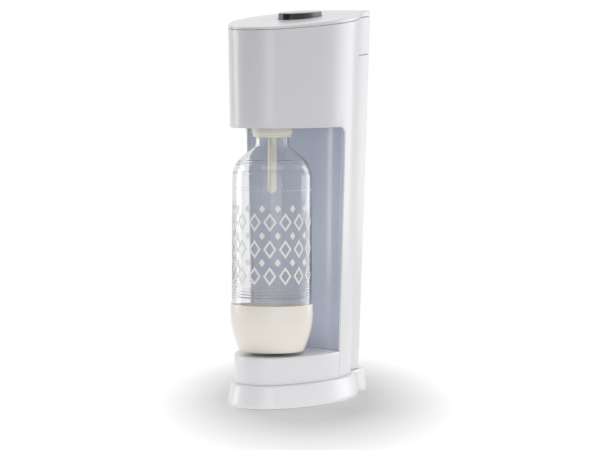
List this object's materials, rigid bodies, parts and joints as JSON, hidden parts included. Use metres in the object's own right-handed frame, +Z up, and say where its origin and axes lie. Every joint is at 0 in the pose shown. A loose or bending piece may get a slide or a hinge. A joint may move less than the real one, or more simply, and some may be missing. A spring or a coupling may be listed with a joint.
{
  "type": "sparkling water maker",
  "caption": "Countertop sparkling water maker: lens-shaped white casing, push button on a sloping lid, tilting head with a screw-in clear bottle, gas cylinder behind a removable rear cover.",
  "frame": {"origin": "on the surface that the feet stand on, under the middle of the whole outline", "axes": "+Z up, -Y to the front where the bottle hangs, +X to the right seen from the front"},
  "size_m": [0.126, 0.226, 0.433],
  "materials": {
    "white_casing": "glossy white moulded casing",
    "liner": "satin blue-grey moulded liner",
    "ivory": "satin ivory moulded plastic",
    "button_dark": "glossy black",
    "button_light": "satin light grey",
    "grey_plastic": "matt grey",
    "rubber": "matt black",
    "hose": "matt dark hose",
    "steel": "plain steel",
    "cast_alloy": "cast",
    "cylinder_alloy": "satin",
    "brass": "machined",
    "clear_bottle": "clear blown plastic"
  },
  "bodies": {
    "casing": {"base_plate": "white_casing", "base_bottom": "grey_plastic", "foot_1": "rubber", "foot_2": "rubber", "foot_3": "rubber", "foot_4": "rubber", "base_screws": "steel", "bottle_stand": "white_casing", "body_shell": "white_casing", "cavity_liner": "liner", "top_lid": "white_casing", "upper_rear_cover": "white_casing", "chassis": "grey_plastic", "valve_block": "cast_alloy", "valve_screws": "steel", "lever_pin": "steel", "button_guide": "grey_plastic", "guide_screws": "steel", "button_spring": "steel", "valve_seal": "rubber", "cylinder_cradle": "grey_plastic", "gas_tube": "hose", "outlet_nut": "brass", "tube_elbow": "brass"},
    "push_button": {"button": "button_dark", "button_cap": "button_light"},
    "rocker": {"lever": "steel"},
    "gas_bottle": {"gas_cylinder": "cylinder_alloy", "cylinder_valve": "brass"},
    "valve_plunger": {"valve_pin": "steel"},
    "back_cover": {"rear_cover": "white_casing"},
    "carbonation_head": {"head_housing": "ivory", "neck_holder": "ivory", "bottle_seal": "rubber", "carb_tube": "ivory", "tilt_pin_left": "steel", "tilt_pin_right": "steel", "relief_bonnet": "ivory", "relief_spring": "steel"},
    "relief": {"relief_poppet": "brass"},
    "water_bottle": {"bottle": "clear_bottle", "bottle_cup": "ivory"}
  },
  "joints": [
    {"name": "button_press", "type": "slide", "parent": "casing", "child": "push_button", "axis": [0, 0, -1], "range_m": [0, 0.005], "stiffness_N_per_m": 300, "springref_m": -0.005, "deforming": ["button_spring"]},
    {"name": "lever_rock", "type": "hinge", "parent": "casing", "child": "rocker", "pos_m": [0, 0.084, 0.3878], "axis": [1, 0, 0], "range_deg": [0, 4.2]},
    {"name": "cylinder_unscrew", "type": "hinge", "parent": "casing", "child": "gas_bottle", "pos_m": [0, 0.06, 0.2], "axis": [0, 0, -1], "range_deg": [0, 720]},
    {"name": "valve_pin_press", "type": "slide", "parent": "gas_bottle", "child": "valve_plunger", "axis": [0, 0, -1], "range_m": [0, 0.0018]},
    {"name": "rear_cover_pull", "type": "slide", "parent": "casing", "child": "back_cover", "axis": [0, 1, 0], "range_m": [0, 0.06]},
    {"name": "head_tilt", "type": "hinge", "parent": "casing", "child": "carbonation_head", "pos_m": [0, -0.057, 0.318], "axis": [-1, 0, 0], "range_deg": [0, 12]},
    {"name": "relief_lift", "type": "slide", "parent": "carbonation_head", "child": "relief", "axis": [0, 0, 1], "range_m": [0, 0.002], "stiffness_N_per_m": 500, "springref_m": -0.002, "deforming": ["relief_spring"]},
    {"name": "bottle_unscrew", "type": "hinge", "parent": "carbonation_head", "child": "water_bottle", "pos_m": [0, -0.057, 0.2], "axis": [0, 0, -1], "range_deg": [0, 540]}
  ],
  "couplings": [
    {"joint": "lever_rock", "follows": "button_press", "rad_per_m": 14.085},
    {"joint": "valve_pin_press", "follows": "button_press", "ratio": 0.33803}
  ]
}
